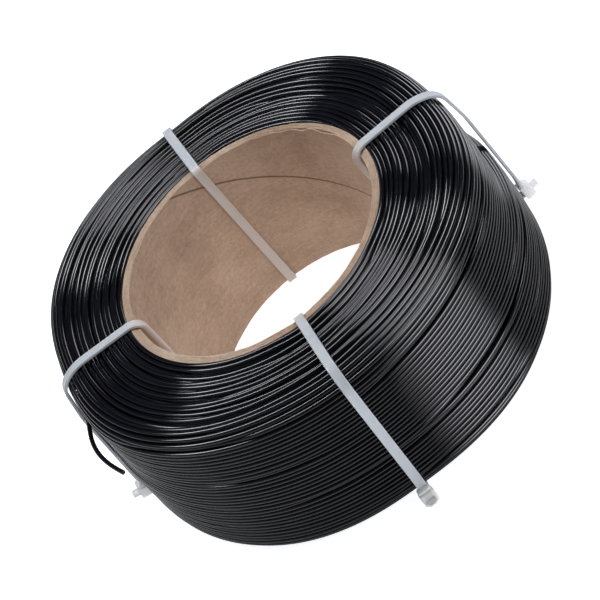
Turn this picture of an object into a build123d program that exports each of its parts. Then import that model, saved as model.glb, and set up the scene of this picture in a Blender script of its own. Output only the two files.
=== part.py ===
from build123d import *

import math
import os

# Refill coil of 3-D printing filament: a paper core, one strand of filament wound on it in
# layers, and four nylon cable ties that hold the winding together.
# Millimetres. +Z is the coil's axis, and Z = 0 is the plane that the coil lies on.

# ---- driving dimensions -------------------------------------------------------------------
BORE_RADIUS = 50.0          # inside of the paper core
CORE_PLIES = 6              # layers of board glued into the core's wall
PLY_THICKNESS = 0.5
COIL_WIDTH = 68.8           # length of the core, and of the winding on it
WINDING_LAYERS = 21
COIL_RADIUS = 88.0          # outside of the outermost layer
EDGE_ROUND = 7.0            # how round the winding's outer edges are
LAYERS_SHOWN_APART = 4      # outer layers, which get narrower towards the outside
FILAMENT_DIAMETER = 1.75

STRAP_WIDTH = 3.6
STRAP_THICKNESS = 1.2
STRAP_EDGE = 0.25
STRAP_GAP = 0.05            # air between a strap and what it lies on
RIM_BEND = 0.72             # radius of the strap's middle where it is tight over the core's rim
SLACK_BEND = 4.0            # and where it stands off the rim
SLACK_DEPTH = 8.5           # depth in the bore at which a slack strap starts to lean back
SLACK_END = 16.5            # and at which it lies against the bore
SLACK_SWEEP = 14.0          # radius of its bends there
UNDER_EDGE_TURN = 27.0      # degrees that a strap turns round the winding's lower edge
ROOT_BEND = 10.0            # radius of its bend where it leaves the head
TAIL_BEND = 6.0             # and where it comes back into the head
TIES = {                    # name: (angle round the coil, how far it stands off inside the bore)
    "front": (263.5, 0.0),
    "right": (-1.6, 3.2),
    "back": (86.1, 0.0),
    "left": (173.6, 3.2),
}

HEAD_WIDTH = 5.7
HEAD_LENGTH = 6.0           # along the strap that leaves it
HEAD_THICKNESS = 4.3        # outwards from the coil
HEAD_ROUND = 0.5
HEAD_TILT = 8.0             # degrees that the slot rises outwards
HEAD_PLACE = (90.7, 4.0)    # distance from the axis and height of the head's middle
STUB_LENGTH = 2.7           # cut end of the strap beyond the head
SLOT_WIDTH = 4.1
SLOT_HEIGHT = 1.7
STRAP_IN_HEAD = -0.6        # strap's middle in the slot, along the head's length
ROOT_IN_HEAD = -1.55        # strap's middle where it leaves the head, across its thickness
ROOT_DEPTH = 0.5            # how far the strap's beginning is inside the head
PAWL_WIDTH = 2.3
PAWL_PIVOT = (-1.15, 1.15)  # across the head's thickness, and along its length
PAWL_BARREL = 0.45
PAWL_CLEARANCE = 0.05
PAWL_TIP = 1.5              # across the head's thickness
PAWL_THICKNESS = (0.1, 1.0)  # its tip, from the teeth's points to its back, along the head's length
PAWL_TEETH = 3
TOOTH_PITCH = 0.55
TOOTH_LENGTH = 0.45         # the sloping side of a tooth
TOOTH_LOW, TOOTH_HIGH = 0.16, 0.38
TOOTH_RISE = 0.06           # how much higher each tooth is than the one nearer the tip
POCKET_WIDTH = 2.6
POCKET_TOP = 2.0

# ---- worked out ---------------------------------------------------------------------------
CORE_RADIUS = BORE_RADIUS + CORE_PLIES * PLY_THICKNESS
LAYER_PITCH = (COIL_RADIUS - CORE_RADIUS) / WINDING_LAYERS
COIL_BOTTOM = STRAP_THICKNESS + STRAP_GAP
COIL_MIDDLE = COIL_BOTTOM + COIL_WIDTH / 2
COIL_TOP = COIL_BOTTOM + COIL_WIDTH
STRAP_OFFSET = STRAP_GAP + STRAP_THICKNESS / 2
EDGE_BEND = EDGE_ROUND + STRAP_OFFSET

# Route of the winding's loose outer end, from where it comes out from under the left strap.
LOOSE_END_ROUTE = [
    (-87.0, 6.6, 48.4),
    (-88.9, 0.8, 48.6),
    (-90.1, -5.1, 48.9),
    (-90.4, -11.2, 49.1),
    (-89.7, -17.3, 49.4),
    (-88.4, -23.2, 49.6),
    (-86.7, -28.6, 49.8),
]


def ring(inner, outer, width, edge=0.0):
    """A tube round the coil's axis, halfway up the coil, with its outer edges rounded."""
    tube = Cylinder(outer, width) - Cylinder(inner, width)
    if edge:
        rims = tube.edges().filter_by(GeomType.CIRCLE).group_by(SortBy.RADIUS)[-1]
        tube = fillet(rims, edge)
    return Pos(0, 0, COIL_MIDDLE) * tube


def core_ply(number):
    """One ply of the core's wall, counted from the bore outwards."""
    inner = BORE_RADIUS + number * PLY_THICKNESS
    return ring(inner, inner + PLY_THICKNESS, COIL_WIDTH)


def layer_width(outer):
    """Width of the winding at a radius, where its outer edges are rounded off."""
    into_edge = min(max(outer - (COIL_RADIUS - EDGE_ROUND), 0), EDGE_ROUND)
    return COIL_WIDTH - 2 * (EDGE_ROUND - math.sqrt(EDGE_ROUND**2 - into_edge**2))


def winding_layer(number):
    """One layer of the filament, counted from the core outwards."""
    inner = CORE_RADIUS + (number - 1) * LAYER_PITCH
    outer = inner + LAYER_PITCH
    return ring(inner, outer, layer_width(outer), edge=0.45 * FILAMENT_DIAMETER)


def inner_layers(count):
    """The layers from the core to below the outer ones, in one solid."""
    return ring(CORE_RADIUS, CORE_RADIUS + count * LAYER_PITCH, COIL_WIDTH)


def arc_radii(points):
    """The largest arcs that the route's corners leave room for."""
    route = [Vector(*point) for point in points]
    runs = [end - start for start, end in zip(route, route[1:])]
    radii = []
    for before, after in zip(runs, runs[1:]):
        half_turn = math.radians(before.get_angle(after)) / 2
        radii.append(0.45 * min(before.length, after.length) / math.tan(half_turn))
    return radii


def loose_end():
    """The last few centimetres of filament, which stand off the coil beside the left tie."""
    radii = arc_radii(LOOSE_END_ROUTE)
    print("loose end radii", [round(radius, 1) for radius in radii])
    path = FilletPolyline(*LOOSE_END_ROUTE, radius=radii)
    section = Plane(origin=path @ 0, z_dir=path % 0) * Circle(FILAMENT_DIAMETER / 2)
    tube = sweep(section, path=path)
    expected = path.length * math.pi * FILAMENT_DIAMETER**2 / 4
    print("loose end length", round(path.length, 2), "volume over expected", tube.volume / expected)
    return tube


def in_head(across, along):
    """A point in the head's own directions, as a distance from the axis and a height."""
    tilt = math.radians(HEAD_TILT)
    distance = HEAD_PLACE[0] + across * math.cos(tilt) - along * math.sin(tilt)
    height = HEAD_PLACE[1] + across * math.sin(tilt) + along * math.cos(tilt)
    return distance, height


def crossing(point, angle, other, other_angle):
    """Where two lines meet, each given by a point on it and its angle in degrees."""
    first = (math.cos(math.radians(angle)), math.sin(math.radians(angle)))
    second = (math.cos(math.radians(other_angle)), math.sin(math.radians(other_angle)))
    gap = (other[0] - point[0], other[1] - point[1])
    turn = first[0] * second[1] - first[1] * second[0]
    reach = (gap[0] * second[1] - gap[1] * second[0]) / turn
    return point[0] + reach * first[0], point[1] + reach * first[1]


def strap_path(stand_off):
    """The strap's middle line: from the head up the wall, over the top face, down the bore,
    under the back face and out through the head."""
    wall = COIL_RADIUS + STRAP_OFFSET
    top = COIL_TOP + STRAP_OFFSET
    bore = BORE_RADIUS - STRAP_OFFSET
    underneath = STRAP_THICKNESS / 2
    root = in_head(ROOT_IN_HEAD, HEAD_LENGTH / 2 - ROOT_DEPTH)
    above_root = crossing(root, 90 + HEAD_TILT, (wall, 0), 90)
    tail = in_head(-HEAD_THICKNESS / 2, STRAP_IN_HEAD)
    tail_end = in_head(HEAD_THICKNESS / 2 + STUB_LENGTH, STRAP_IN_HEAD)
    past_edge = EDGE_BEND * math.tan(math.radians(UNDER_EDGE_TURN / 2))
    round_edge = (COIL_RADIUS - EDGE_ROUND + past_edge, underneath)
    before_slot = crossing(round_edge, UNDER_EDGE_TURN, tail, HEAD_TILT)

    corners = [(above_root, ROOT_BEND), ((wall, top), EDGE_BEND)]
    if stand_off:
        corners.append(((bore - stand_off, top), SLACK_BEND))
        corners.append(((bore - stand_off, top - SLACK_DEPTH), SLACK_SWEEP))
        corners.append(((bore, top - SLACK_END), SLACK_SWEEP))
    else:
        corners.append(((bore, top), RIM_BEND))
    corners.append(((bore, underneath), RIM_BEND))
    corners.append((round_edge, EDGE_BEND))
    corners.append((before_slot, TAIL_BEND))
    line = [root] + [corner for corner, bend in corners] + [tail_end]
    return FilletPolyline(*[(distance, 0, height) for distance, height in line],
                          radius=[bend for corner, bend in corners])


def head_place():
    """The head's own frame: X across its thickness, Y across its width, Z along its length."""
    return Pos(HEAD_PLACE[0], 0, HEAD_PLACE[1]) * Rot(0, -HEAD_TILT, 0)


def tie_head():
    """The tie's locking head, with its slot, and a pocket beside the slot for the pawl."""
    block = fillet(Box(HEAD_THICKNESS, HEAD_WIDTH, HEAD_LENGTH).edges(), HEAD_ROUND)
    slot = Pos(0, 0, STRAP_IN_HEAD) * Box(2 * HEAD_THICKNESS, SLOT_WIDTH, SLOT_HEIGHT)
    seat = Rot(90, 0, 0) * Cylinder(PAWL_BARREL + PAWL_CLEARANCE, POCKET_WIDTH)
    seat = Pos(PAWL_PIVOT[0], 0, PAWL_PIVOT[1]) * seat
    pocket_reach = HEAD_THICKNESS - PAWL_PIVOT[0]
    pocket = Pos(PAWL_PIVOT[0] + pocket_reach / 2, 0, POCKET_TOP / 2)
    pocket = pocket * Box(pocket_reach, POCKET_WIDTH, POCKET_TOP)
    return head_place() * (block - slot - seat - pocket)


def cable_tie(stand_off):
    """One nylon tie: strap, head and cut stub in one piece. The stub goes through the slot
    with room round it."""
    path = strap_path(stand_off)
    section = Plane(origin=path @ 0, x_dir=(0, 1, 0), z_dir=path % 0)
    strap = sweep(section * RectangleRounded(STRAP_WIDTH, STRAP_THICKNESS, STRAP_EDGE), path=path)
    return strap + tie_head()


def pawl():
    """The toothed tongue in the head, which turns on its barrel and bites the strap."""
    pivot_across, pivot_along = PAWL_PIVOT
    tip_low, tip_high = PAWL_THICKNESS
    outline = [(pivot_across, pivot_along + PAWL_BARREL), (PAWL_TIP, tip_high), (PAWL_TIP, tip_low)]
    for tooth in range(PAWL_TEETH):
        lift = TOOTH_RISE * tooth
        end = PAWL_TIP - (tooth + 1) * TOOTH_PITCH
        outline.append((end + TOOTH_LENGTH, TOOTH_HIGH + lift))
        outline.append((end, TOOTH_LOW + lift))
    outline.append((pivot_across, pivot_along - PAWL_BARREL))
    side = Plane.XZ * make_face(Polyline(*outline, close=True))
    tongue = extrude(side, PAWL_WIDTH / 2, both=True)
    barrel = Pos(pivot_across, 0, pivot_along) * Rot(90, 0, 0) * Cylinder(PAWL_BARREL, PAWL_WIDTH)
    return head_place() * (tongue + barrel)


def save(solid, name):
    solid.label = name
    export_step(solid, f"parts/{name}.step")


os.makedirs("parts", exist_ok=True)

ply_names = ["core_liner_ply"]
ply_names += [f"core_body_ply_{number}" for number in range(1, CORE_PLIES - 1)]
ply_names += ["core_outer_ply"]
for number, name in enumerate(ply_names):
    save(core_ply(number), name)

layers_inside = WINDING_LAYERS - LAYERS_SHOWN_APART
save(inner_layers(layers_inside), "winding_inner_layers")
for number in range(layers_inside + 1, WINDING_LAYERS + 1):
    save(winding_layer(number), f"winding_layer_{number}")
save(loose_end(), "filament_loose_end")

for side, (angle, stand_off) in TIES.items():
    save(Rot(0, 0, angle) * cable_tie(stand_off), f"cable_tie_{side}")
    save(Rot(0, 0, angle) * pawl(), f"tie_pawl_{side}")
    pivot = Vector(*(in_head(*PAWL_PIVOT)[0], 0, in_head(*PAWL_PIVOT)[1])).rotate(Axis.Z, angle)
    print(side, "pawl pivot", pivot)
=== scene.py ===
import math

import bmesh
import bpy
import numpy as np
from mathutils import Matrix, Vector


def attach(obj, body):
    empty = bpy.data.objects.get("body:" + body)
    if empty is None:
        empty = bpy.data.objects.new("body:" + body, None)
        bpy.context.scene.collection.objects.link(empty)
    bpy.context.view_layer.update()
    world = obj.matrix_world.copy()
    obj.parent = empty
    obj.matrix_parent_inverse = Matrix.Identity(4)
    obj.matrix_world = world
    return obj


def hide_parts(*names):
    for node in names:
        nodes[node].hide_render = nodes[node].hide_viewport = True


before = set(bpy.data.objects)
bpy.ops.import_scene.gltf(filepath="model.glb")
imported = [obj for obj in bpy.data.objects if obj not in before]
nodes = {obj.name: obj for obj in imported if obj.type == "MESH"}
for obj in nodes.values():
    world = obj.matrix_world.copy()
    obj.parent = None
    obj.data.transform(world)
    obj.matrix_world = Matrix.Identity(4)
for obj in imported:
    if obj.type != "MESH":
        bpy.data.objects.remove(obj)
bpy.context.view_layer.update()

# Everything below is worked out in millimetres and written to the meshes in metres.
MM = 0.001

# ---- the coil, as the CAD model has it ----------------------------------------------------
BORE_RADIUS = 50.0
CORE_PLIES = 6
PLY_THICKNESS = 0.5
CORE_RADIUS = BORE_RADIUS + CORE_PLIES * PLY_THICKNESS
COIL_BOTTOM = 1.25
COIL_TOP = 70.05
STRAND = 0.875              # half the filament's diameter
STRAP_WIDTH = 3.6
STRAP_THICKNESS = 1.2
STRAP_OFFSET = 0.05 + STRAP_THICKNESS / 2

# ---- the winding's own shape --------------------------------------------------------------
WINDING_RADIUS = 87.9
FACE_SPACING = 1.95         # between neighbouring strands on the two faces
WALL_SPACING = 1.90         # and on the outside
FACE_CROWN = 0.5            # how far the front face swells between the core and the edge
CROWN_FADE = 6.0            # how far in from the edge it has its full height
CORE_LIFT = 0.35            # how far the first turns stand above the rest of the face
CORE_LIFT_REACH = 5.0       # how far from the core they do
CORE_LIFT_FADE = 4.0        # and over how much of that the lift fades out
EDGE_RADIUS = 5.8
EDGE_ROUNDING = 3.6         # how much rounder the edges are at the ties
EDGE_ROUNDING_WIDTH = 17.0  # degrees
SMALLEST_EDGE = 0.5         # of the layers beneath
# Where the winding bulges between two ties: from one angle to another, how far
BULGES = [(264.3, 358.5, 1.25), (88.0, 174.0, 1.25), (-1.5, 88.0, 0.4)]
SEGMENTS = 300              # of the strand, per turn
SIDES = 12
SEGMENTS_BENEATH = 130      # of the layer that only shows in the gaps
SIDES_BENEATH = 7

# ---- the four ties ------------------------------------------------------------------------
# name: angle round the coil at the head, degrees that the strap leans further round up at
# the front face, degrees that it is twisted just inside the bore, how deep the tie pulls the
# winding in, how far the part below STEP_HEIGHT has stayed out, and whether its strap is
# slack, so that it stands off the bore and off the outside of the winding
TIES = {
    "front": dict(angle=263.5, lean=1.8, twist=0.0, pinch=0.8, proud=0.0, slack=False),
    "right": dict(angle=-1.6, lean=0.0, twist=38.0, pinch=3.4, proud=3.1, slack=True),
    "back": dict(angle=86.1, lean=1.6, twist=0.0, pinch=1.2, proud=0.0, slack=False),
    "left": dict(angle=173.6, lean=0.0, twist=0.0, pinch=2.9, proud=2.4, slack=True),
}
PINCH_WIDTH = 18.0          # degrees to each side of a tie
HELD_WIDTH = 6.0            # degrees to each side where the strap holds the strands flat
STEP_HEIGHT = 36.0
STEP_REACH = 3.5            # above and below STEP_HEIGHT
STEP_FOOT = 3.0             # the part below the step draws in again under this height


# ==== small tools ==========================================================================
def smoothstep(x):
    """0 below 0, 1 above 1, and a smooth rise between them."""
    x = np.clip(x, 0.0, 1.0)
    return x * x * (3 - 2 * x)


def angle_away(angle, centre):
    """Degrees from centre to angle, the short way round."""
    return (np.asarray(angle) - centre + 180) % 360 - 180


def lobe(angle, centre, width):
    """1 at centre, falling off to both sides over about two widths."""
    return np.exp(-0.5 * (angle_away(angle, centre) / width) ** 2)


def swell(angle, start, end):
    """0 at start and end, and 1 halfway between them."""
    along = ((np.asarray(angle) - start) % 360) / ((end - start) % 360)
    return np.where(along < 1, np.sin(np.pi * np.clip(along, 0, 1)) ** 2, 0.0)


def wander(x, per_unit, seed):
    """Smooth noise between about -1 and 1 along x, always the same for one seed."""
    knots = np.random.RandomState(seed).uniform(-1, 1, int(per_unit * (x.max() + 2)) + 4)
    place = x * per_unit
    low = np.floor(place).astype(int)
    share = smoothstep(place - low)
    return knots[low] * (1 - share) + knots[low + 1] * share


def round_axis(distance, bearing, height):
    """Points from distances from the coil's axis, bearings in radians, and heights."""
    distance, bearing, height = np.broadcast_arrays(distance, bearing, height)
    return np.stack([distance * np.cos(bearing), distance * np.sin(bearing), height], -1)


def new_object(name, data):
    made = bpy.data.objects.new(name, data)
    bpy.context.scene.collection.objects.link(made)
    return made


def mesh_object(name, points, faces, smooth=True):
    """A new object from points in millimetres and faces."""
    mesh = bpy.data.meshes.new(name)
    mesh.from_pydata((np.asarray(points) * MM).tolist(), [], faces)
    mesh.update()
    if smooth:
        mesh.shade_smooth()
    else:
        mesh.shade_flat()
    return new_object(name, mesh)


def grid_faces(rows, columns, close_rows=False, close_columns=False):
    """Quads over a grid of points, whose rows or columns may join up into a ring."""
    i, j = np.meshgrid(np.arange(rows - (not close_rows)),
                       np.arange(columns - (not close_columns)), indexing="ij")
    below, beside = (i + 1) % rows, (j + 1) % columns
    quads = np.stack([i * columns + j, i * columns + beside,
                      below * columns + beside, below * columns + j], -1)
    return quads.reshape(-1, 4).tolist()


def tube_faces(rings, sides):
    """Faces of a tube of so many rings, with closed ends."""
    faces = grid_faces(rings, sides, close_columns=True)
    faces.append(list(range(sides))[::-1])
    faces.append([(rings - 1) * sides + k for k in range(sides)])
    return faces


def unit(rows):
    """Each row as a direction of length 1."""
    return rows / np.linalg.norm(rows, axis=1)[:, None]


def swept_tube(line, outward, radius, sides):
    """Points and faces of a round tube along a line, with closed ends."""
    along = unit(np.gradient(line, axis=0))
    across = unit(np.cross(along, outward))
    up = np.cross(across, along)
    turn = 2 * np.pi * np.arange(sides) / sides
    rings = (line[:, None] + radius * (np.cos(turn)[None, :, None] * up[:, None]
                                       + np.sin(turn)[None, :, None] * across[:, None]))
    return rings.reshape(-1, 3), tube_faces(len(line), sides)


def finish_piece(piece, body, material, replaced=()):
    """Gives a piece its material and body, and hides the parts that it replaces."""
    if material is not None:
        piece.data.materials.append(material)
    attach(piece, body)
    if replaced:
        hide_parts(*replaced)
    return piece


# ==== camera ===============================================================================
def make_camera():
    """Above and in front of the coil, and rolled, so that the coil leans in the picture."""
    data = bpy.data.cameras.new("camera")
    data.sensor_width = 36.0
    data.lens = 158.3
    data.clip_start, data.clip_end = 0.02, 20.0
    camera = new_object("camera", data)
    right = Vector((0.75919, -0.42392, -0.49389))
    back = Vector((0.0, -0.75881, 0.65132)).normalized()
    up = back.cross(right).normalized()
    right = up.cross(back)
    camera.matrix_world = (Matrix.Translation((0.00011, -0.7302, 0.65945))
                           @ Matrix((right, up, back)).transposed().to_4x4())
    bpy.context.scene.camera = camera


make_camera()


# ==== the free end of the filament =========================================================
# Route of the loose end, the same points as in the CAD source.
LOOSE_END_ROUTE = [
    (-87.0, 6.6, 48.4),
    (-88.9, 0.8, 48.6),
    (-90.1, -5.1, 48.9),
    (-90.4, -11.2, 49.1),
    (-89.7, -17.3, 49.4),
    (-88.4, -23.2, 49.6),
    (-86.7, -28.6, 49.8),
]


def make_loose_end():
    """The cut end of the filament, which stands off the wall in one curve."""
    curve = bpy.data.curves.new("filament_end", "CURVE")
    curve.dimensions = "3D"
    spline = curve.splines.new("NURBS")
    spline.points.add(len(LOOSE_END_ROUTE) - 1)
    for point, place in zip(spline.points, LOOSE_END_ROUTE):
        point.co = (place[0] * MM, place[1] * MM, place[2] * MM, 1.0)
    spline.order_u = 3
    spline.use_endpoint_u = True
    spline.resolution_u = 16
    curve.bevel_depth = STRAND * MM
    curve.bevel_resolution = 6
    curve.use_fill_caps = True
    piece = new_object("filament_end", curve)
    return piece


loose_end = make_loose_end()


# ==== materials ============================================================================
def new_material(name):
    """A new material, its nodes and its shader."""
    material = bpy.data.materials.new(name)
    material.use_nodes = True
    tree = material.node_tree
    return material, tree, tree.nodes["Principled BSDF"]


def noise(tree, vector, scale, detail=4.0, roughness=0.5):
    """Noise between 0 and 1, finer the larger its scale."""
    node = tree.nodes.new("ShaderNodeTexNoise")
    node.inputs["Scale"].default_value = scale
    node.inputs["Detail"].default_value = detail
    node.inputs["Roughness"].default_value = roughness
    tree.links.new(vector, node.inputs["Vector"])
    return node.outputs["Fac"]


def stretched(tree, vector, scale):
    """The same place, scaled differently along each axis."""
    node = tree.nodes.new("ShaderNodeMapping")
    node.inputs["Scale"].default_value = scale
    tree.links.new(vector, node.inputs["Vector"])
    return node.outputs["Vector"]


def ramp(tree, value, stops):
    """A colour ramp; stops are (place, colour), and a colour is a grey or three numbers."""
    node = tree.nodes.new("ShaderNodeValToRGB")
    elements = node.color_ramp.elements
    while len(elements) < len(stops):
        elements.new(0.5)
    for element, (place, colour) in zip(elements, stops):
        element.position = place
        if not hasattr(colour, "__len__"):
            colour = (colour,) * 3
        element.color = (*colour, 1.0)
    tree.links.new(value, node.inputs["Fac"])
    return node.outputs["Color"]


def mixed(tree, share, first, second, blend="MIX"):
    """Two colours mixed; the share and either colour may be a node's output or a value."""
    node = tree.nodes.new("ShaderNodeMix")
    node.data_type = "RGBA"
    node.blend_type = blend
    for name, value in (("Factor", share), ("A", first), ("B", second)):
        socket = [s for s in node.inputs if s.name == name and s.enabled][0]
        if isinstance(value, bpy.types.NodeSocket):
            tree.links.new(value, socket)
        elif hasattr(value, "__len__"):
            socket.default_value = (*value, 1.0)
        else:
            socket.default_value = value
    return [s for s in node.outputs if s.enabled][0]


def math_node(tree, operation, *values):
    """The result of a sum on node outputs and numbers."""
    node = tree.nodes.new("ShaderNodeMath")
    node.operation = operation
    for socket, value in zip(node.inputs, values):
        if isinstance(value, bpy.types.NodeSocket):
            tree.links.new(value, socket)
        else:
            socket.default_value = value
    return node.outputs["Value"]


def bump(tree, shader, height, distance, strength, under=None):
    """Fine relief, on top of another bump if one is given. distance is in metres."""
    node = tree.nodes.new("ShaderNodeBump")
    node.inputs["Strength"].default_value = strength
    node.inputs["Distance"].default_value = distance
    tree.links.new(height, node.inputs["Height"])
    if under is not None:
        tree.links.new(under, node.inputs["Normal"])
    tree.links.new(node.outputs["Normal"], shader.inputs["Normal"])
    return node.outputs["Normal"]


def object_place(tree):
    return tree.nodes.new("ShaderNodeTexCoord").outputs["Object"]


def set_roughness(tree, shader, grain, low, high, stops=(0.3, 0.7)):
    """Roughness that varies with a noise between two values."""
    rough = ramp(tree, grain, [(stops[0], low), (stops[1], high)])
    tree.links.new(rough, shader.inputs["Roughness"])


def filament_material():
    """Near-black extruded plastic: glossy, with a slightly uneven tone and surface."""
    material, tree, shader = new_material("black_filament")
    place = object_place(tree)
    shader.inputs["IOR"].default_value = 1.5
    dark, light = (0.0026, 0.0028, 0.0044), (0.0050, 0.0053, 0.0078)
    colour = ramp(tree, noise(tree, place, 90.0, 3.0), [(0.3, dark), (0.7, light)])
    tree.links.new(colour, shader.inputs["Base Color"])
    set_roughness(tree, shader, noise(tree, place, 420.0, 4.0), 0.09, 0.15, (0.3, 0.75))
    bump(tree, shader, noise(tree, place, 1500.0, 2.0), 0.00002, 0.05)
    return material


def nylon_material(name, light, shade, softness, painted_bounce_tone=None):
    """Natural nylon: milky, slightly see-through, with a satin surface. Where it lies inside
    the bore it is painted in the given warmer tone, if one is given: painted warm light, standing
    in for the light that the board bounces onto it."""
    material, tree, shader = new_material(name)
    place = object_place(tree)
    cloud = noise(tree, place, 120.0, 2.0)
    tone = ramp(tree, cloud, [(0.3, shade), (0.7, light)])
    if painted_bounce_tone is not None:
        flat = stretched(tree, place, (1.0, 1.0, 0.0))
        reach = tree.nodes.new("ShaderNodeVectorMath")
        reach.operation = "LENGTH"
        tree.links.new(flat, reach.inputs[0])
        decimetres = math_node(tree, "MULTIPLY", reach.outputs["Value"], 10.0)
        # Painted bounce light: inside the bore the tone is painted warm, in place of the light off
        # the board.
        inside = ramp(tree, decimetres, [(0.498, 1.0), (0.535, 0.0)])
        tone = mixed(tree, inside, tone, painted_bounce_tone)
    tree.links.new(tone, shader.inputs["Base Color"])
    set_roughness(tree, shader, noise(tree, place, 900.0, 3.0), 0.50, 0.62)
    shader.inputs["IOR"].default_value = 1.53
    shader.inputs["Specular IOR Level"].default_value = 0.3
    shader.inputs["Subsurface Weight"].default_value = softness
    shader.inputs["Subsurface Radius"].default_value = (1.0, 0.95, 0.85)
    shader.inputs["Subsurface Scale"].default_value = 0.0012
    bump(tree, shader, noise(tree, place, 5200.0, 2.0), 0.00002, 0.15)
    return material


SEAM_PLACE = (106.8, 70.8)  # degrees round the bore, and height, of a point on the seam
SEAM_RISE = 0.494           # millimetres per degree


def board_colour(tree, place, tones):
    """Kraft board: cloudy tone, fibres that lie mostly along the paper, and dark specks."""
    dark, middle, light = tones
    cloud = noise(tree, place, 38.0, 5.0, 0.6)
    base = ramp(tree, cloud, [(0.28, dark), (0.5, middle), (0.74, light)])
    along = noise(tree, stretched(tree, place, (160.0, 160.0, 900.0)), 1.0, 5.0, 0.7)
    base = mixed(tree, 0.5, base, ramp(tree, along, [(0.3, 0.76), (0.7, 1.18)]), "MULTIPLY")
    mottle = noise(tree, place, 700.0, 3.0, 0.65)
    base = mixed(tree, 0.8, base, ramp(tree, mottle, [(0.25, 0.80), (0.7, 1.14)]), "MULTIPLY")
    speck = noise(tree, place, 1500.0, 1.0, 0.4)
    return mixed(tree, ramp(tree, speck, [(0.70, 0.0), (0.76, 0.6)]), base,
                 tuple(0.45 * c for c in dark))


def board_surface(tree, shader, grain, grain_roughness, depth, strength):
    """The paper's fine relief; depth is in metres."""
    relief = noise(tree, object_place(tree), grain, 4.0, grain_roughness)
    return bump(tree, shader, relief, depth, strength)


def liner_material():
    """The bore's paper, with the dark line where the spiral-wound strip meets itself."""
    material, tree, shader = new_material("kraft_liner")
    place = object_place(tree)
    tones = (0.42, 0.295, 0.213), (0.53, 0.385, 0.285), (0.62, 0.465, 0.355)
    colour = board_colour(tree, place, tones)
    parts = tree.nodes.new("ShaderNodeSeparateXYZ")
    tree.links.new(place, parts.inputs["Vector"])
    turn = math_node(tree, "ARCTAN2", parts.outputs["Y"], parts.outputs["X"])
    turn = math_node(tree, "MULTIPLY", turn, 180 / math.pi)
    height = math_node(tree, "MULTIPLY", parts.outputs["Z"], 1 / MM)
    seam_at_zero = SEAM_PLACE[1] - SEAM_RISE * SEAM_PLACE[0]
    seam = math_node(tree, "MULTIPLY_ADD", turn, SEAM_RISE, seam_at_zero)
    waver = math_node(tree, "MULTIPLY_ADD", noise(tree, place, 60.0, 3.0), 1.2, -0.6)
    away = math_node(tree, "ADD", math_node(tree, "SUBTRACT", height, seam), waver)
    near = math_node(tree, "ABSOLUTE", away)
    line = ramp(tree, near, [(0.0, 1.0), (0.34, 0.9), (0.62, 0.0)])
    colour = mixed(tree, math_node(tree, "MULTIPLY", line, 0.8), colour, (0.10, 0.060, 0.038))
    tree.links.new(colour, shader.inputs["Base Color"])
    set_roughness(tree, shader, noise(tree, place, 500.0), 0.72, 0.92)
    shader.inputs["Specular IOR Level"].default_value = 0.25
    rough = board_surface(tree, shader, 1400.0, 0.6, 0.00006, 0.6)
    # The paper steps up a little at the seam.
    step = math_node(tree, "MULTIPLY_ADD", away, 0.5, 0.5)
    bump(tree, shader, ramp(tree, step, [(0.35, 0.0), (0.65, 1.0)]), 0.00012, 0.7, under=rough)
    return material


def board_material():
    """The core's other plies."""
    material, tree, shader = new_material("kraft_board")
    place = object_place(tree)
    tones = (0.42, 0.30, 0.215), (0.53, 0.40, 0.30), (0.62, 0.48, 0.37)
    tree.links.new(board_colour(tree, place, tones), shader.inputs["Base Color"])
    set_roughness(tree, shader, noise(tree, place, 500.0), 0.75, 0.94)
    shader.inputs["Specular IOR Level"].default_value = 0.2
    board_surface(tree, shader, 1600.0, 0.6, 0.00006, 0.6)
    return material


def cut_edge_material():
    """The sawn ends of the plies: paler, with torn fibres."""
    material, tree, shader = new_material("kraft_cut_edge")
    place = object_place(tree)
    tones = (0.44, 0.31, 0.215), (0.60, 0.45, 0.335), (0.74, 0.59, 0.46)
    tree.links.new(board_colour(tree, place, tones), shader.inputs["Base Color"])
    set_roughness(tree, shader, noise(tree, place, 900.0), 0.8, 0.96)
    shader.inputs["Specular IOR Level"].default_value = 0.15
    board_surface(tree, shader, 2200.0, 0.65, 0.0001, 0.8)
    return material


FILAMENT = filament_material()
# Inside the bore the strap is painted warmer, a painted stand-in for the warm light bounced off the
# board.
STRAP_NYLON = nylon_material("nylon_strap", (0.575, 0.61, 0.64), (0.545, 0.58, 0.61), 0.3,
                             painted_bounce_tone=(0.70, 0.655, 0.615))
HEAD_NYLON = nylon_material("nylon_head", (0.95, 0.95, 0.93), (0.91, 0.91, 0.89), 0.7)
LINER = liner_material()
BOARD = board_material()
CUT_EDGE = cut_edge_material()


# ==== the winding ==========================================================================
def winding_radius(angle):
    """Outside of the winding, which the ties pull in and which bulges between them."""
    radius = WINDING_RADIUS
    for start, end, height in BULGES:
        radius = radius + height * swell(angle, start, end)
    for tie in TIES.values():
        radius = radius - tie["pinch"] * lobe(angle, tie["angle"], PINCH_WIDTH)
    return radius


def edge_radius(angle):
    """How round the winding's outer edges are: rounder at the ties."""
    radius = EDGE_RADIUS
    for tie in TIES.values():
        radius = radius + EDGE_ROUNDING * lobe(angle, tie["angle"], EDGE_ROUNDING_WIDTH)
    return radius


def held_by_ties(angle):
    """1 under each strap, which holds the strands flat, and 0 away from them."""
    return sum(lobe(angle, tie["angle"], HELD_WIDTH) for tie in TIES.values())


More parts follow.
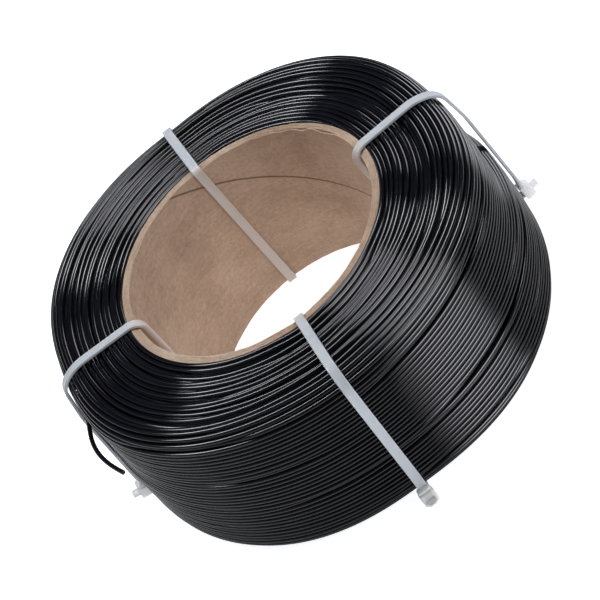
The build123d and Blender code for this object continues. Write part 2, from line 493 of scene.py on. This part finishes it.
def section(share, angle, depth=0.0):
    """A point of the winding's outline at an angle: share is how far along the outline, from
    the core over the front face, down the outside and back over the back face, and depth is
    how far beneath the outermost strands. Gives the distance from the axis, the height, and
    how far the outline has turned: 0 on the front face, pi/2 outside, pi on the back face."""
    inset = STRAND + depth
    outer = winding_radius(angle) - inset
    bend = np.maximum(edge_radius(angle) - inset, SMALLEST_EDGE)
    top, bottom = COIL_TOP - inset, COIL_BOTTOM + inset
    start = CORE_RADIUS + STRAND
    face = outer - bend - start
    corner = bend * np.pi / 2
    wall = top - bottom - 2 * bend
    place = share * (2 * face + 2 * corner + wall)
    past_face = place - face
    past_corner = past_face - corner
    past_wall = past_corner - wall
    past_second = past_wall - corner
    turn = (np.clip(past_face / corner, 0, 1) + np.clip(past_wall / corner, 0, 1)) * np.pi / 2
    lower = past_corner > wall
    centre = np.where(lower, bottom + bend, top - bend)
    distance = outer - bend + bend * np.sin(turn)
    distance = distance + np.minimum(past_face, 0) - np.maximum(past_second, 0)
    height = centre + bend * np.cos(turn) - np.clip(past_corner, 0, wall) * (~lower)
    held = held_by_ties(angle)
    from_rim = np.clip(outer - distance, 0, CROWN_FADE) / CROWN_FADE
    by_core = smoothstep((CORE_RADIUS + CORE_LIFT_REACH - distance) / CORE_LIFT_FADE)
    lift = FACE_CROWN * (1 - 0.6 * held) + CORE_LIFT * by_core * (1 - held)
    height = height + lift * smoothstep(from_rim) * (past_corner < 0)
    below_step = smoothstep((STEP_HEIGHT + STEP_REACH - height) / (2 * STEP_REACH))
    below_step = below_step * smoothstep(height / STEP_FOOT)
    for tie in TIES.values():
        proud = tie["proud"] * lobe(angle, tie["angle"], PINCH_WIDTH)
        distance = distance + proud * below_step * np.sin(turn)
    return distance, height, turn


FACE_LENGTH = WINDING_RADIUS - EDGE_RADIUS - CORE_RADIUS - STRAND
OUTSIDE_LENGTH = (EDGE_RADIUS - STRAND) * np.pi + COIL_TOP - COIL_BOTTOM - 2 * EDGE_RADIUS
FACE_TURNS = FACE_LENGTH / FACE_SPACING
OUTSIDE_TURNS = OUTSIDE_LENGTH / WALL_SPACING
TURNS = 2 * FACE_TURNS + OUTSIDE_TURNS

FIRST_TURN = -0.98          # one turn lies against the core before the spiral starts
LAST_TURN = TURNS + 0.14
DIVE_LENGTH = 0.08          # in turns, over which each end of the strand dips out of sight
DIVE_DEPTH = 1.7
STEPPING_TURNS = 6.0        # the turns next to the core that step over all at once
STEP_OVER = (0.015, 0.08)   # where in each turn they start to, and over how much of it


def all_at_once(turns):
    """What a count of turns has to gain so that it rises by 1 just after each whole turn."""
    part = turns % 1
    return smoothstep((part - STEP_OVER[0]) / STEP_OVER[1]) - part


def stepping(turns):
    """Near the core each turn lies level beside the last one and steps over all at once."""
    near_front = 1 - smoothstep((turns - 1.0) / STEPPING_TURNS)
    near_back = 1 - smoothstep((TURNS - 1.0 - turns) / STEPPING_TURNS)
    return near_front * all_at_once(turns) + near_back * all_at_once(turns - TURNS)


def share_of_outline(turns):
    """How far along the outline the strand is after a number of turns."""
    places = [0, FACE_TURNS, FACE_TURNS + OUTSIDE_TURNS, TURNS]
    lengths = [0, FACE_LENGTH, FACE_LENGTH + OUTSIDE_LENGTH, 2 * FACE_LENGTH + OUTSIDE_LENGTH]
    return np.interp(turns, places, lengths) / lengths[-1]


def turn_at(height, angle):
    """The turn that passes a height on the outside at an angle."""
    turns = np.linspace(FACE_TURNS + 1, FACE_TURNS + OUTSIDE_TURNS - 1, 4000)
    heights = section(share_of_outline(turns), np.full_like(turns, angle))[1]
    found = turns[np.argmin(abs(heights - height))]
    return round(found - (angle % 360) / 360) + (angle % 360) / 360


# Where a strand has sunk between its neighbours:
# height on the outside, angle, degrees to each side, depth, how far the neighbours close up
SUNK_STRANDS = [
    (57.3, 292.0, 34.0, 1.1, 0.10),
    (60.0, 330.0, 36.0, 1.6, 0.0),
    (27.0, 255.0, 26.0, 0.8, 0.25),
    (27.2, 318.0, 48.0, 1.7, 0.0),
    (24.3, 285.0, 34.0, 0.7, 0.15),
    (65.5, 222.0, 22.0, 1.0, 0.1),
    (8.5, 282.0, 24.0, 0.9, 0.2),
    (45.0, 236.0, 20.0, 0.5, 0.1),
    (39.0, 140.0, 40.0, 1.3, 0.1),
    (18.0, 110.0, 36.0, 1.1, 0.1),
    (55.0, 60.0, 40.0, 1.2, 0.1),
    (33.0, 28.0, 30.0, 1.0, 0.2),
]
SUNK_PER_FACE = 34
# What a sunk strand does to its neighbours: how many strands away, share of the closing up
CLOSING_UP = [(1, 1.0), (2, 0.6), (3, 0.3)]
SINK_SLOPE = 1.6            # above 1 the middle of a sunk stretch lies level


def sunk_places():
    """Each sunk stretch: turn at its middle, half its length in turns, depth, closing up."""
    found = [(turn_at(height, angle), spread / 360, depth, closing)
             for height, angle, spread, depth, closing in SUNK_STRANDS]
    draw = np.random.RandomState(8)
    for first in (0.8, TURNS - FACE_TURNS):
        for _ in range(SUNK_PER_FACE):
            found.append((first + draw.uniform(0, FACE_TURNS - 0.8), draw.uniform(22, 60) / 360,
                          draw.uniform(0.5, 1.15), draw.uniform(0.10, 0.34)))
    return found


SUNK = sunk_places()


def straying(turns, place, on_face, held):
    """How far the strand strays outwards and sideways from a perfect winding: more on the
    faces than outside, and hardly outwards where a strap holds it."""
    count = turns + 1
    out = (0.10 + 0.20 * on_face) * wander(count, 6.0, 11) + 0.07 * wander(count, 17.0, 12)
    out = out * (1 - 0.8 * held) - 0.12 - 0.10 * held
    side = (0.09 + 0.26 * on_face) * wander(count, 5.0, 13) + 0.04 * wander(count, 13.0, 14)
    side = side * smoothstep(place / 2) * smoothstep((TURNS - place) / 2)
    dive = np.maximum(1 - (turns - FIRST_TURN) / DIVE_LENGTH, 1 - (LAST_TURN - turns) / DIVE_LENGTH)
    return out - DIVE_DEPTH * smoothstep(dive), side


def with_sunk_strands(turns, out, side):
    """The same, with the sunk stretches, over which the neighbours close up."""
    for middle, reach, sink, closing in SUNK:
        share = 1 - np.abs(turns - middle) / reach
        out = out - sink * smoothstep(share * SINK_SLOPE)
        for strands_away, pull in CLOSING_UP:
            for way in (1, -1):
                share = 1 - np.abs(turns - middle - way * strands_away) / reach
                side = side - way * pull * closing * smoothstep(share * SINK_SLOPE)
    return out, side


def strand_line(turns, depth=0.0, shift=0.0, rough=1.0):
    """The strand's middle line after each number of turns, and its outward side. depth is how
    far beneath the outermost strands, shift is sideways in strands, and rough is the share
    of the straying."""
    angle = (turns * 360) % 360
    place = turns + shift + rough * stepping(turns)
    distance, height, turn = section(share_of_outline(place), angle, depth)
    on_face = np.abs(np.cos(turn))
    out, side = straying(turns, place, on_face, on_face * held_by_ties(angle))
    out, side = with_sunk_strands(turns, rough * out, rough * side)
    distance = distance + out * np.sin(turn) + side * np.cos(turn)
    height = height + out * np.cos(turn) - side * np.sin(turn)
    bearing = np.radians(angle)
    return round_axis(distance, bearing, height), round_axis(np.sin(turn), bearing, np.cos(turn))


def make_winding():
    """The outermost strands, from the front face round to the back face, in four lengths."""
    front_edge, middle, back_edge = 15.5, 33.0, TURNS - 15.5
    lengths = [
        ("winding_front_face", FIRST_TURN, front_edge, ["winding_layer_18"]),
        ("winding_outside_front", front_edge, middle, ["winding_layer_21"]),
        ("winding_outside_back", middle, back_edge, ["winding_layer_20"]),
        ("winding_back_face", back_edge, LAST_TURN, ["winding_layer_19"]),
    ]
    for name, start, end, replaced in lengths:
        turns = np.linspace(start, end, int((end - start) * SEGMENTS) + 1)
        line, outward = strand_line(turns)
        points, faces = swept_tube(line, outward, STRAND, SIDES)
        finish_piece(mesh_object(name, points, faces), "coil", FILAMENT, replaced)


def make_layer_beneath():
    """The strands that lie in the gaps just under the outermost ones."""
    turns = np.linspace(0.6, TURNS - 0.6, int(TURNS * SEGMENTS_BENEATH))
    line, outward = strand_line(turns, depth=1.55, shift=0.5, rough=0.0)
    points, faces = swept_tube(line, outward, STRAND, SIDES_BENEATH)
    finish_piece(mesh_object("winding_beneath", points, faces), "coil", FILAMENT)


def make_winding_inside():
    """The bulk of the winding, closed under the strands that show."""
    angles = np.arange(0, 360, 2.0)
    shares = np.linspace(0, 1, 60)
    angle, share = np.meshgrid(angles, shares, indexing="ij")
    distance, height, _ = section(share, angle, depth=2.6)
    distance[:, 0] = distance[:, -1] = CORE_RADIUS + 0.02
    points = round_axis(distance, np.radians(angle), height)
    faces = grid_faces(len(angles), len(shares), close_rows=True, close_columns=True)
    piece = mesh_object("winding_inside", points.reshape(-1, 3), faces)
    finish_piece(piece, "coil", FILAMENT, ["winding_inner_layers"])


def make_last_turn():
    """The end of the winding, which rises over its neighbours, passes under the left strap
    and becomes the loose end."""
    exit_x, exit_y, exit_height = LOOSE_END_ROUTE[0]
    start, end = 108.0, math.degrees(math.atan2(exit_y, exit_x))
    start_height = 46.9
    angle = np.linspace(start, end, 120)
    rise = 1.05 * smoothstep((angle - 118.0) / 26.0)
    lift = rise - 0.55 * (1 - smoothstep((angle - start) / 20.0))
    distance = winding_radius(angle) - STRAND + lift
    # Over the last degrees it takes up the loose end's own direction.
    exit_distance = math.hypot(exit_x, exit_y)
    slope = 0.27 * math.radians(1.0) * exit_distance
    leaving = exit_distance - slope * (end - angle)
    share = smoothstep((angle - (end - 14.0)) / 13.0)
    distance = distance * (1 - share) + leaving * share
    gone = smoothstep((angle - start) / (end - start))
    height = start_height + (exit_height - start_height) * gone
    bearing = np.radians(angle)
    line, outward = round_axis(distance, bearing, height), round_axis(1.0, bearing, 0.0)
    points, faces = swept_tube(line, outward, STRAND, SIDES)
    finish_piece(mesh_object("winding_last_turn", points, faces), "coil", FILAMENT)


make_winding()
make_layer_beneath()
make_winding_inside()
make_last_turn()
finish_piece(loose_end, "coil", FILAMENT, ["filament_loose_end"])


# ==== the core =============================================================================
# Where the rim's inner edge is torn: angle, degrees to each side, depth
TORN = [(22.0, 9.0, 1.5), (36.0, 6.0, 1.1), (46.0, 4.0, 1.3), (56.0, 3.0, 0.6),
        (228.0, 5.0, 0.5), (243.0, 3.0, 0.4), (131.0, 5.0, 0.5)]
TORN_LEAN = 0.3             # how far a torn edge leans into the bore
RIM_DENT = 1.9              # how far the slack straps have crushed the rim's inner edge
TIGHT_DENT = 0.5            # and how far the tight ones have
DENT_WIDTH = 3.0            # degrees to each side
PLY_GAPS = (0.04, 0.03)     # on a ply's inner side, but for the first one's, and outer side


def ply_ends(number, angles):
    """Heights of a ply's two cut ends, and how far the upper one leans into the bore."""
    part = angles / 360
    uneven = 0.13 * wander(part, 70.0, 31 + number) + 0.07 * wander(part, 300.0, 41 + number)
    uneven *= smoothstep(angles / 4) * smoothstep((360 - angles) / 4)
    top = COIL_TOP - 0.16 + uneven
    share_left = 1 - number / CORE_PLIES
    for tie in TIES.values():
        dent = RIM_DENT * share_left ** 1.5 if tie["slack"] else TIGHT_DENT * share_left
        top = top - dent * lobe(angles, tie["angle"], DENT_WIDTH)
    lean = 0 * angles
    if number == 0:
        ragged = 0.65 + 0.35 * wander(part, 170.0, 77)
        for place, reach, depth in TORN:
            bite = smoothstep(1 - np.abs(angle_away(angles, place)) / reach)
            top = top - depth * bite * ragged
            lean = lean - TORN_LEAN * bite * ragged
    return COIL_BOTTOM + 0.12 + np.roll(uneven, 191), top, lean


def make_ply(number, name, material):
    """One ply of the core's wall, with its own uneven cut ends."""
    angles = np.arange(0, 360, 0.5)
    inner = BORE_RADIUS + number * PLY_THICKNESS + (0.0 if number == 0 else PLY_GAPS[0])
    outer = BORE_RADIUS + (number + 1) * PLY_THICKNESS - PLY_GAPS[1]
    bottom, top, lean = ply_ends(number, angles)
    lower_end = [(outer, bottom + 0.08), (outer - 0.06, bottom), (inner + 0.06, bottom),
                 (inner, bottom + 0.08)]
    wall = [(inner, bottom + (top - bottom) * h) for h in np.linspace(0.02, 0.98, 12)]
    upper_end = [(inner + 0.5 * lean, top - 0.30), (inner + lean, top - 0.08),
                 (inner + 0.10 + lean, top), (outer - 0.10 + 0.4 * lean, top),
                 (outer, top - 0.10), (outer, top - 0.30)]
    levels = lower_end + wall + upper_end
    bearing = np.radians(angles)
    rings = [round_axis(distance, bearing, height) for distance, height in levels]
    points = np.stack(rings, 1).reshape(-1, 3)
    faces = grid_faces(len(angles), len(levels), close_rows=True, close_columns=True)
    piece = mesh_object(name.replace("ply", "paper"), points, faces)
    piece.data.materials.append(material)
    piece.data.materials.append(CUT_EDGE)
    # The faces between two levels are in the order of the levels, all the way round.
    slots = np.zeros(len(levels), np.int32)
    slots[:3] = 1
    slots[len(lower_end) + len(wall):][:4] = 1
    piece.data.polygons.foreach_set("material_index", np.tile(slots, len(angles)))
    finish_piece(piece, "coil", None, [name])


make_ply(0, "core_liner_ply", LINER)
for number in range(1, CORE_PLIES - 1):
    make_ply(number, f"core_body_ply_{number}", BOARD)
make_ply(CORE_PLIES - 1, "core_outer_ply", BOARD)


# ==== the ties =============================================================================
HEAD_WIDTH = 5.7
HEAD_LENGTH = 6.0
HEAD_THICKNESS = 4.3
HEAD_TILT = 8.0             # degrees
HEAD_PLACE = (90.7, 4.0)    # its middle's distance from the axis, and height
STUB_LENGTH = 2.7
SLOT_WIDTH = 3.76
SLOT_HEIGHT = 1.4
STRAP_IN_HEAD = -0.6        # how far along the head the strap goes through it
ROOT_IN_HEAD = -1.55        # how far across the head its own strap grows from it
SLACK_ROOT_IN_HEAD = -0.95
PAWL_PIVOT = (-1.15, 1.15)
SEAT_RADIUS = 0.5
POCKET_WIDTH = 2.6
POCKET_TOP = 2.0
POCKET_END = 1.8            # the pocket is closed towards the head's outer face
TOOTH_PITCH = 1.15
TOOTH_DEPTH = 0.22
TOOTH_FLOOR = 0.04
RAIL_WIDTH = 0.55
CHANNEL_DEPTH = 0.05
CHANNEL_SLOPE = 0.15
STRAP_ROUNDING = 0.22
END_ROUNDING = 0.35         # how far from the cut end the strap narrows
END_NARROWING = 0.35        # the share of its width that it loses there


def in_head(across, along):
    """A point in the head's own directions, as a distance from the axis and a height."""
    tilt = math.radians(HEAD_TILT)
    return (HEAD_PLACE[0] + across * math.cos(tilt) - along * math.sin(tilt),
            HEAD_PLACE[1] + across * math.sin(tilt) + along * math.cos(tilt))


def crossing(point, angle, other, other_angle):
    """Where two lines meet, each given by a point on it and its angle in degrees."""
    first = (math.cos(math.radians(angle)), math.sin(math.radians(angle)))
    second = (math.cos(math.radians(other_angle)), math.sin(math.radians(other_angle)))
    gap = (other[0] - point[0], other[1] - point[1])
    turn = first[0] * second[1] - first[1] * second[0]
    reach = (gap[0] * second[1] - gap[1] * second[0]) / turn
    return point[0] + reach * first[0], point[1] + reach * first[1]


def strap_corners(tie):
    """The strap's corners, each with the radius of its bend, from the head up the outside,
    over the front face, down the bore, under the back face and out through the head."""
    top = COIL_TOP + STRAP_OFFSET + 0.15
    bore = BORE_RADIUS - STRAP_OFFSET
    underneath = STRAP_THICKNESS / 2
    tail = in_head(-HEAD_THICKNESS / 2, STRAP_IN_HEAD)
    tail_end = in_head(HEAD_THICKNESS / 2 + STUB_LENGTH, STRAP_IN_HEAD)
    round_edge = (82.84, underneath)
    before_slot = crossing(round_edge, 27.0, tail, HEAD_TILT)
    if tie["slack"]:
        # It leans outwards a little towards the head, and swings off the core's rim.
        root = in_head(SLACK_ROOT_IN_HEAD, HEAD_LENGTH / 2 - 0.5)
        corners = [((89.75, 12.0), 20.0), ((88.2, 50.0), 60.0), ((85.6, 66.6), 9.0),
                   ((77.5, top), 18.0), ((48.2, top - 0.15), 5.4), ((47.9, 50.0), 40.0),
                   ((bore, 22.0), 50.0)]
    else:
        root = in_head(ROOT_IN_HEAD, HEAD_LENGTH / 2 - 0.5)
        wall = float(winding_radius(tie["angle"])) + STRAP_OFFSET - 0.1
        edge_bend = float(edge_radius(tie["angle"])) + STRAP_OFFSET
        above_root = crossing(root, 90 + HEAD_TILT, (wall, 0), 90)
        corners = [(above_root, 8.0), ((wall, top), edge_bend), ((70.0, top + 0.25), 90.0),
                   ((bore, top - 0.3), 1.7)]
    corners += [((bore, underneath), 0.72), (round_edge, 7.65), (before_slot, 6.0)]
    return [(root, 0.0)] + corners + [(tail_end, 0.0)]


def rounded_line(corners, step):
    """Evenly spaced points along a line with rounded corners, in one plane, and how far
    along the line each one is."""
    points = [np.array(corners[0][0])]
    for (before, _), (corner, bend), (after, _) in zip(corners, corners[1:], corners[2:]):
        corner = np.array(corner)
        back, ahead = np.array(before) - corner, np.array(after) - corner
        back /= np.linalg.norm(back)
        ahead /= np.linalg.norm(ahead)
        half = math.acos(np.clip(back @ ahead, -1, 1)) / 2
        cut = bend / math.tan(half)
        middle = corner + (back + ahead) / np.linalg.norm(back + ahead) * bend / math.sin(half)
        first, last = corner + back * cut - middle, corner + ahead * cut - middle
        sweep = math.pi - 2 * half
        count = max(6, int(sweep * bend / step))
        for share in np.linspace(0, 1, count + 1):
            weight = math.sin((1 - share) * sweep), math.sin(share * sweep)
            points.append(middle + (first * weight[0] + last * weight[1]) / math.sin(sweep))
    points.append(np.array(corners[-1][0]))
    points = np.array(points)
    gone = np.concatenate([[0], np.cumsum(np.linalg.norm(np.diff(points, axis=0), axis=1))])
    even = np.linspace(0, gone[-1], int(gone[-1] / step) + 1)
    line = np.stack([np.interp(even, gone, points[:, axis]) for axis in (0, 1)], 1)
    return line, even


def strap_section(teeth):
    """The strap's outline at each step: across its width, and out from its middle.
    The outer side has a shallow channel between two rails, the inner side has teeth."""
    half, thick, soft = STRAP_WIDTH / 2, STRAP_THICKNESS / 2, STRAP_ROUNDING
    rail, floor = half - RAIL_WIDTH, half - RAIL_WIDTH - CHANNEL_SLOPE
    outer = [(-half, thick - soft), (-half + soft, thick), (-rail, thick),
             (-floor, thick - CHANNEL_DEPTH), (floor, thick - CHANNEL_DEPTH),
             (rail, thick), (half - soft, thick), (half, thick - soft)]
    inner = [(half, -thick + soft), (half - soft, -thick), (rail, -thick),
             (rail - 0.1, None), (-rail + 0.1, None), (-rail, -thick),
             (-half + soft, -thick), (-half, -thick + soft)]
    sections = []
    for depth in teeth:
        sections.append(outer + [(across, -thick + depth if out is None else out)
                                 for across, out in inner])
    return np.array(sections, float)


def turned(first, second, angle):
    """Two directions' parts after a turn from the first towards the second."""
    return (first * np.cos(angle) - second * np.sin(angle),
            first * np.sin(angle) + second * np.cos(angle))


def make_strap(side, tie):
    """The tie's strap, with its stub beyond the head."""
    line, gone = rounded_line(strap_corners(tie), TOOTH_PITCH / 4)
    along = unit(np.gradient(line, axis=0))
    # The path runs up the outside first, so its right-hand side faces away from the coil.
    outward = np.stack([along[:, 1], -along[:, 0]], 1)
    outline = strap_section(TOOTH_FLOOR + TOOTH_DEPTH * ((gone / TOOTH_PITCH) % 1.0))
    # The cut end is a little narrower and rounded.
    from_end = gone[-1] - gone
    slim = 1 - END_NARROWING * (1 - np.clip(from_end / END_ROUNDING, 0, 1)) ** 2
    outline *= slim[:, None, None]
    height = line[:, 1]
    inside = (line[:, 0] < BORE_RADIUS) * smoothstep((COIL_TOP + 1.0 - height) / 5.0)
    twist = np.radians(tie["twist"] * inside * smoothstep((height - 50.0) / 15.0))[:, None]
    across, out = turned(outline[:, :, 0], outline[:, :, 1], twist)
    plane = line[:, None] + out[:, :, None] * outward[:, None]
    leaning = tie["lean"] * np.clip(height / COIL_TOP, 0, 1)
    bearing = np.radians(tie["angle"] + leaning)[:, None]
    points = np.stack([*turned(plane[:, :, 0], across, bearing), plane[:, :, 1]], -1)
    rows, columns = points.shape[:2]
    piece = mesh_object(f"tie_strap_{side}", points.reshape(-1, 3), tube_faces(rows, columns),
                        smooth=False)
    smooth_over(piece, 32)
    finish_piece(piece, "coil", STRAP_NYLON, [f"cable_tie_{side}"])
    piece.data.materials.append(HEAD_NYLON)
    stub_start = int(np.argmax(from_end < STUB_LENGTH + HEAD_THICKNESS)) * columns
    for face in piece.data.polygons:
        if min(face.vertices) >= stub_start:
            face.material_index = 1


def smooth_over(piece, degrees):
    """Smooth shading, with edges sharper than so many degrees left crisp."""
    mesh = bmesh.new()
    mesh.from_mesh(piece.data)
    bmesh.ops.recalc_face_normals(mesh, faces=mesh.faces)
    for face in mesh.faces:
        face.smooth = True
    for edge in mesh.edges:
        if edge.is_manifold:
            edge.smooth = edge.calc_face_angle(0) < math.radians(degrees)
    mesh.to_mesh(piece.data)
    mesh.free()


def placed(name, mesh, centre):
    """An object from a bmesh, moved to its place in the head's own directions."""
    bmesh.ops.translate(mesh, vec=Vector(centre) * MM, verts=mesh.verts)
    data = bpy.data.meshes.new(name)
    mesh.to_mesh(data)
    mesh.free()
    return new_object(name, data)


def block(name, size, centre, bevel=0.0, segments=3):
    """A block, whose edges may be rounded, as the start of a cut piece."""
    mesh = bmesh.new()
    bmesh.ops.create_cube(mesh, size=1.0)
    bmesh.ops.scale(mesh, vec=Vector(size) * MM, verts=mesh.verts)
    if bevel:
        bmesh.ops.bevel(mesh, geom=mesh.edges[:], offset=bevel * MM, segments=segments,
                        profile=0.5, affect="EDGES")
    return placed(name, mesh, centre)


def lying_bar(name, radius, width, centre):
    """A round bar that lies across the head, for the seat of the pawl's barrel."""
    mesh = bmesh.new()
    bmesh.ops.create_cone(mesh, cap_ends=True, segments=32, radius1=radius * MM,
                          radius2=radius * MM, depth=width * MM,
                          matrix=Matrix.Rotation(math.pi / 2, 4, "X"))
    return placed(name, mesh, centre)


def combined(target, tool, operation):
    """Adds or cuts one mesh with another, and throws the tool away."""
    modifier = target.modifiers.new("cut", "BOOLEAN")
    modifier.operation = operation
    modifier.solver = "EXACT"
    modifier.object = tool
    graph = bpy.context.evaluated_depsgraph_get()
    made = bpy.data.meshes.new_from_object(target.evaluated_get(graph))
    target.modifiers.clear()
    target.data = made
    bpy.data.objects.remove(tool)
    return target


def make_head(side, tie):
    """The locking head: a rounded block with a collar where its strap grows from it, a slot
    and, inside, the pawl's seat and pocket."""
    size = (HEAD_THICKNESS, HEAD_WIDTH, HEAD_LENGTH)
    head = block(f"tie_head_{side}", size, (0, 0, 0), bevel=1.0, segments=6)
    collar = block("collar", (3.2, 5.0, 2.0), (-0.5, 0, HEAD_LENGTH / 2), bevel=0.7, segments=4)
    slot = block("slot", (3 * HEAD_THICKNESS, SLOT_WIDTH, SLOT_HEIGHT), (0, 0, STRAP_IN_HEAD),
                 bevel=0.12, segments=2)
    seat = lying_bar("seat", SEAT_RADIUS, POCKET_WIDTH, (PAWL_PIVOT[0], 0, PAWL_PIVOT[1]))
    reach = POCKET_END - PAWL_PIVOT[0]
    pocket = block("pocket", (reach, POCKET_WIDTH, POCKET_TOP),
                   (PAWL_PIVOT[0] + reach / 2, 0, POCKET_TOP / 2))
    head = combined(head, collar, "UNION")
    for cut in (slot, seat, pocket):
        head = combined(head, cut, "DIFFERENCE")
    place = (Matrix.Rotation(math.radians(tie["angle"]), 4, "Z")
             @ Matrix.Translation((HEAD_PLACE[0] * MM, 0, HEAD_PLACE[1] * MM))
             @ Matrix.Rotation(math.radians(-HEAD_TILT), 4, "Y"))
    head.data.transform(place)
    smooth_over(head, 35)
    finish_piece(head, "coil", HEAD_NYLON)


for side, tie in TIES.items():
    make_strap(side, tie)
    make_head(side, tie)
    pawl = nodes[f"tie_pawl_{side}"]
    pawl.data.materials.clear()
    pawl.data.materials.append(HEAD_NYLON)


# ==== floor, light and world ===============================================================
def make_floor():
    """A plain white floor that glows: most to the camera, so that it looks evenly white, and
    more to the light that it throws up at the coil than to its reflection in the gloss."""
    half = 2500
    points = [(-half, -half, 0), (half, -half, 0), (half, half, 0), (-half, half, 0)]
    floor = mesh_object("floor", points, [(0, 1, 2, 3)], smooth=False)
    material, tree, shader = new_material("white_floor")
    shader.inputs["Base Color"].default_value = (0.78, 0.78, 0.79, 1)
    shader.inputs["Roughness"].default_value = 0.6
    shader.inputs["Emission Color"].default_value = (0.95, 0.96, 1.0, 1)
    path = tree.nodes.new("ShaderNodeLightPath").outputs
    seen = math_node(tree, "MULTIPLY_ADD", path["Is Camera Ray"], 0.8, 0.14)
    glow = math_node(tree, "MULTIPLY_ADD", path["Is Diffuse Ray"], 0.7, seen)
    tree.links.new(glow, shader.inputs["Emission Strength"])
    floor.data.materials.append(material)


def area_light(name, place, target, size, radiance):
    """A soft box at a place, in metres, that faces a target."""
    data = bpy.data.lights.new(name, "AREA")
    data.shape = "RECTANGLE"
    data.size, data.size_y = size
    data.energy = radiance * math.pi * size[0] * size[1]
    data.color = (0.95, 0.96, 1.0)
    light = new_object(name, data)
    light.location = place
    light.rotation_mode = "QUATERNION"
    light.rotation_quaternion = (Vector(target) - Vector(place)).to_track_quat("-Z", "Y")


def window(tree, place, direction, edge, full):
    """1 where the view lies towards a direction, and 0 beyond a soft edge. full and edge are
    the cosines of the angles from the direction between which it fades."""
    node = tree.nodes.new("ShaderNodeVectorMath")
    node.operation = "DOT_PRODUCT"
    node.inputs[1].default_value = direction
    tree.links.new(place, node.inputs[0])
    share = math_node(tree, "MULTIPLY_ADD", node.outputs["Value"], 0.5, 0.5)
    return ramp(tree, share, [(0.5 + edge / 2, 0.0), (0.5 + full / 2, 1.0)])


# What the gloss sees: direction, the cosines edge and full of its soft edge, and radiance
WINDOWS = [
    ((0.727, 0.655, 0.208), 0.955, 0.985, (5.0, 5.0, 5.3)),
    ((0.490, -0.735, 0.469), 0.895, 0.95, (6.8, 6.8, 7.4)),
]
STRIP_SIDE = Vector((0.0, 0.946, -0.326))   # the strip is the band square to this direction
STRIP_EDGE = (-0.095, -0.075)
STRIP_ENDS = (0.58, 0.66)                   # how far it reaches to the left and right
STRIP_RADIANCE = (12.0, 12.2, 13.0)


def gloss_surroundings(tree, place):
    """Dim, a little lighter to the left, with two windows and a strip overhead."""
    parts = tree.nodes.new("ShaderNodeSeparateXYZ")
    tree.links.new(place, parts.inputs["Vector"])
    sideways = math_node(tree, "MULTIPLY_ADD", parts.outputs["X"], 0.5, 0.5)
    seen = ramp(tree, sideways, [(0.05, (0.24, 0.245, 0.30)), (0.35, (0.04, 0.041, 0.052))])
    for direction, edge, full, radiance in WINDOWS:
        seen = mixed(tree, window(tree, place, direction, edge, full), seen, radiance)
    strip = math_node(tree, "MULTIPLY", window(tree, place, STRIP_SIDE, *STRIP_EDGE),
                      window(tree, place, -STRIP_SIDE, *STRIP_EDGE))
    length = math_node(tree, "ABSOLUTE", parts.outputs["X"])
    within = ramp(tree, length, [(STRIP_ENDS[0], 1.0), (STRIP_ENDS[1], 0.0)])
    strip = math_node(tree, "MULTIPLY", strip, within)
    return mixed(tree, strip, seen, STRIP_RADIANCE)


def either(tree, share, first, second):
    """The first of two shaders where share is 0, the second where it is 1."""
    node = tree.nodes.new("ShaderNodeMixShader")
    tree.links.new(share, node.inputs["Fac"])
    tree.links.new(first, node.inputs[1])
    tree.links.new(second, node.inputs[2])
    return node.outputs["Shader"]


def make_world():
    """White to the camera, dim to the light that falls on the coil, and to the coil's gloss
    the surroundings above."""
    world = bpy.data.worlds.new("studio")
    bpy.context.scene.world = world
    world.use_nodes = True
    tree = world.node_tree
    dim = tree.nodes["Background"]
    dim.inputs["Color"].default_value = (0.16, 0.16, 0.165, 1)
    place = tree.nodes.new("ShaderNodeTexCoord").outputs["Generated"]
    gloss = tree.nodes.new("ShaderNodeBackground")
    tree.links.new(gloss_surroundings(tree, place), gloss.inputs["Color"])
    white = tree.nodes.new("ShaderNodeBackground")
    white.inputs["Color"].default_value = (1.0, 1.0, 1.0, 1)
    path = tree.nodes.new("ShaderNodeLightPath").outputs
    unseen = either(tree, path["Is Glossy Ray"], dim.outputs[0], gloss.outputs[0])
    chosen = either(tree, path["Is Camera Ray"], unseen, white.outputs[0])
    tree.links.new(chosen, tree.nodes["World Output"].inputs["Surface"])


make_floor()
make_world()
area_light("overhead", (0.0, 0.38, 1.10), (0, 0, 0.03), (1.7, 0.20), 10.3)
area_light("side", (0.43, -0.60, 0.45), (0, 0, 0.06), (0.54, 0.45), 2.2)
bpy.context.scene.view_settings.view_transform = "Standard"
